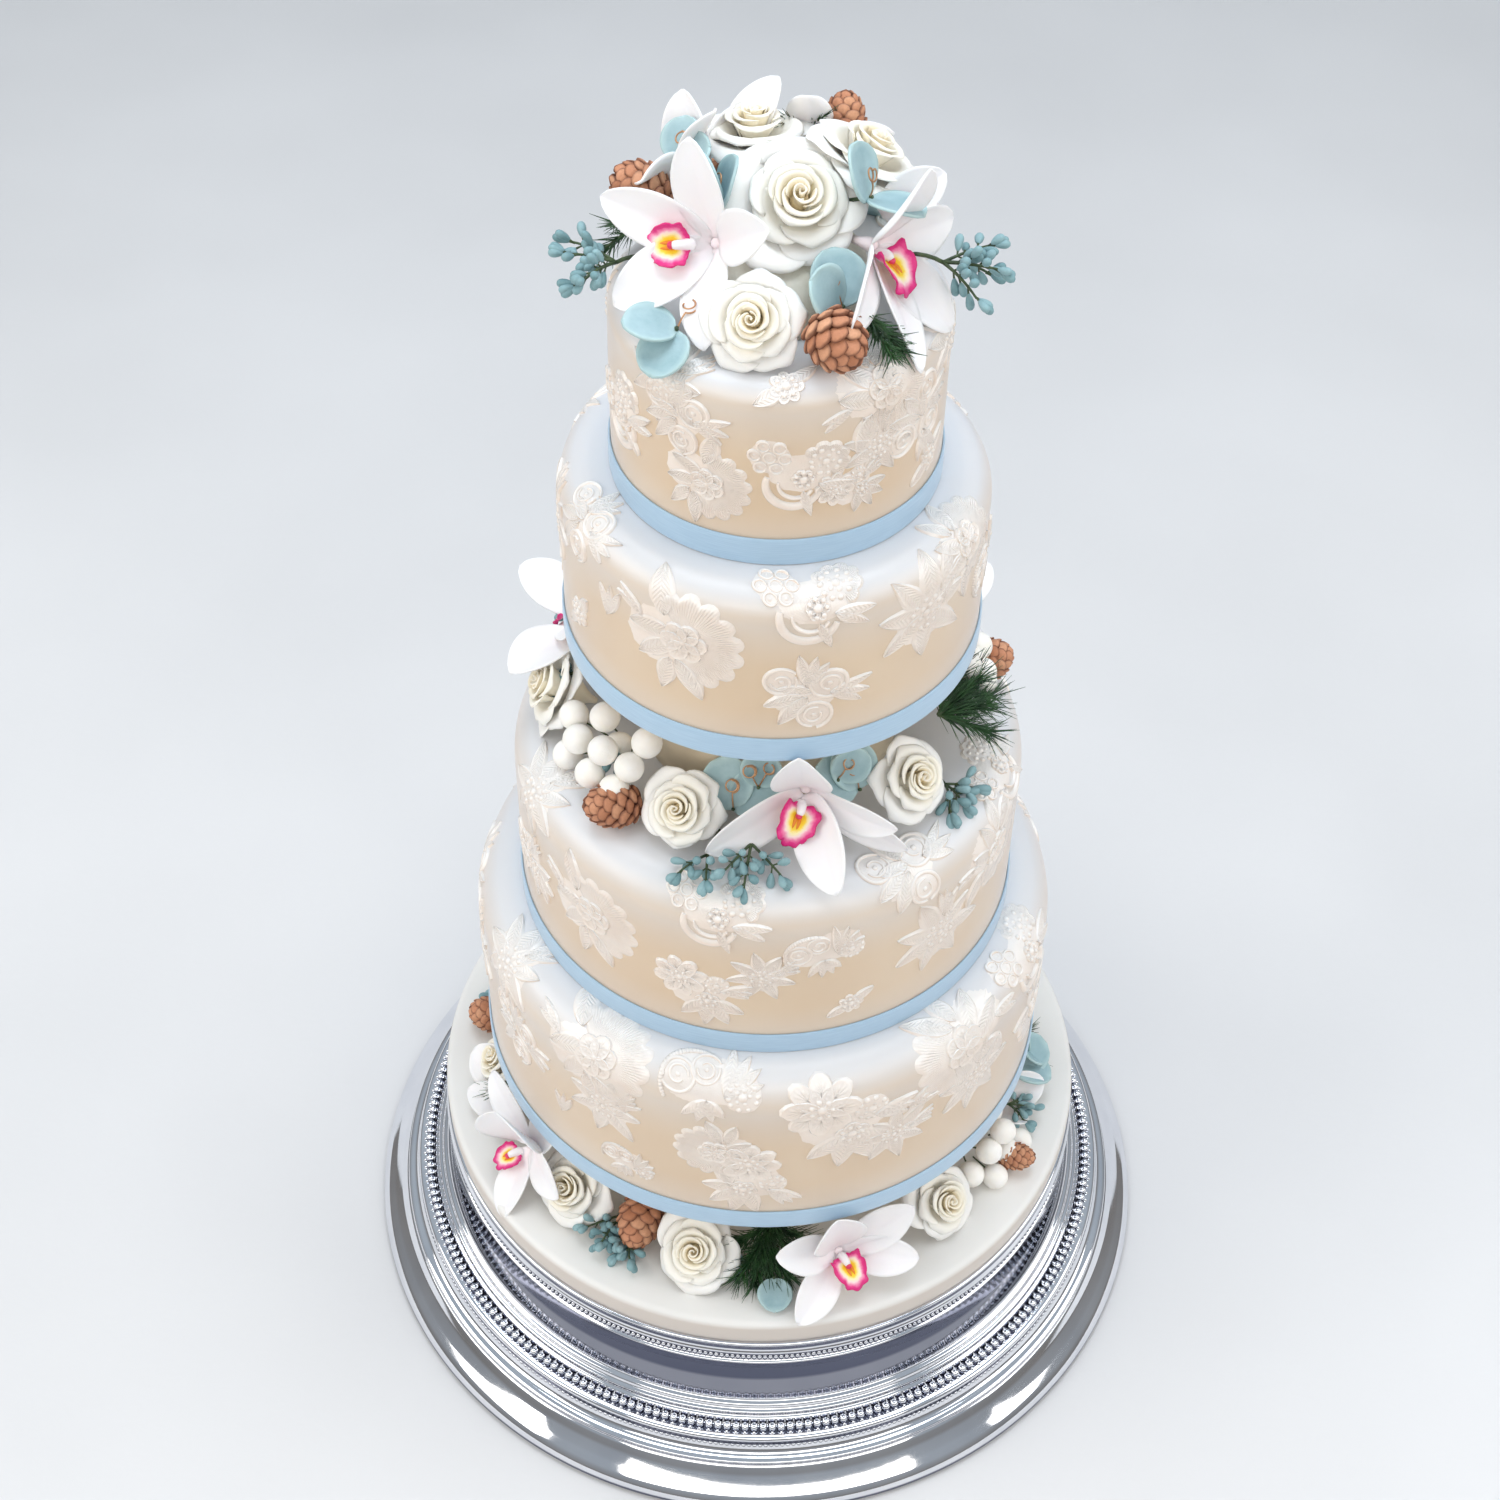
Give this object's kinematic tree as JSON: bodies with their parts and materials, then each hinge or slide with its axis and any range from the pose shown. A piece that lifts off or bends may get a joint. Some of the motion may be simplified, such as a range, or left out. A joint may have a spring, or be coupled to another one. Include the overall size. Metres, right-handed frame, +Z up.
{
  "type": "tiered wedding cake",
  "caption": "Round iced wedding cake in stacked tiers with lace relief, satin ribbons and sprays of sugar flowers, on a polished silver stand.",
  "frame": {"origin": "middle of the stand's underside, on the surface that it stands on", "axes": "+Z up, -Y the front that the spray's largest flowers face"},
  "size_m": [0.4686, 0.4686, 0.7495],
  "materials": {
    "silver": "polished silver plate with beaded and reeded bands",
    "board_icing": "ivory sugar paste, satin",
    "tier_icing": "pearl-dusted cream sugar paste with lace relief",
    "separator": "cream sugar paste over a plain drum",
    "ribbon": "pale blue satin",
    "paste": "white flower paste",
    "rose": "ivory sugar petals",
    "orchid": "white sugar petals with a magenta and yellow lip",
    "cone": "brown scales, matt",
    "leaf": "pale blue-green sugar leaf, dusted",
    "seed": "blue-green buds, dusted",
    "needle": "dark green needles",
    "berry": "ivory balls, matt"
  },
  "bodies": {
    "root": {"berries_low_right": "berry", "berries_mid_left": "berry", "berries_mid_right": "berry", "cone_low_front": "cone", "cone_low_right": "cone", "cone_mid_left": "cone", "cone_top_back": "cone", "cone_top_front": "cone", "cone_top_left": "cone", "flower_mound": "paste", "iced_board": "board_icing", "leaves_low_right": "leaf", "leaves_mid_left": "leaf", "leaves_mid_right": "leaf", "leaves_top_back_left": "leaf", "leaves_top_front": "leaf", "leaves_top_front_left": "leaf", "leaves_top_left": "leaf", "leaves_top_right": "leaf", "needles_top_front": "needle", "orchid_low_back": "orchid", "orchid_low_front": "orchid", "orchid_low_left": "orchid", "orchid_mid_front": "orchid", "orchid_mid_left": "orchid", "orchid_mid_right": "orchid", "orchid_top_back": "orchid", "orchid_top_back_left": "orchid", "orchid_top_left": "orchid", "orchid_top_right": "orchid", "ribbon_bottom": "ribbon", "ribbon_second": "ribbon", "ribbon_third": "ribbon", "ribbon_top": "ribbon", "rose_low_back": "rose", "rose_low_front": "rose", "rose_low_front_left": "rose", "rose_low_left": "rose", "rose_low_right": "rose", "rose_mid_back": "rose", "rose_mid_front_left": "rose", "rose_mid_front_right": "rose", "rose_mid_left": "rose", "rose_top_back_left": "rose", "rose_top_back_right": "rose", "rose_top_centre": "rose", "rose_top_front": "rose", "seeds_low_front": "seed", "seeds_mid_front": "seed", "seeds_top_left": "seed", "seeds_top_right": "seed", "separator_low": "separator", "separator_middle": "separator", "sprig_low_front": "needle", "sprig_mid_right": "needle", "stand": "silver", "tier_bottom": "tier_icing", "tier_second": "tier_icing", "tier_third": "tier_icing", "tier_top": "tier_icing"}
  },
  "joints": []
}
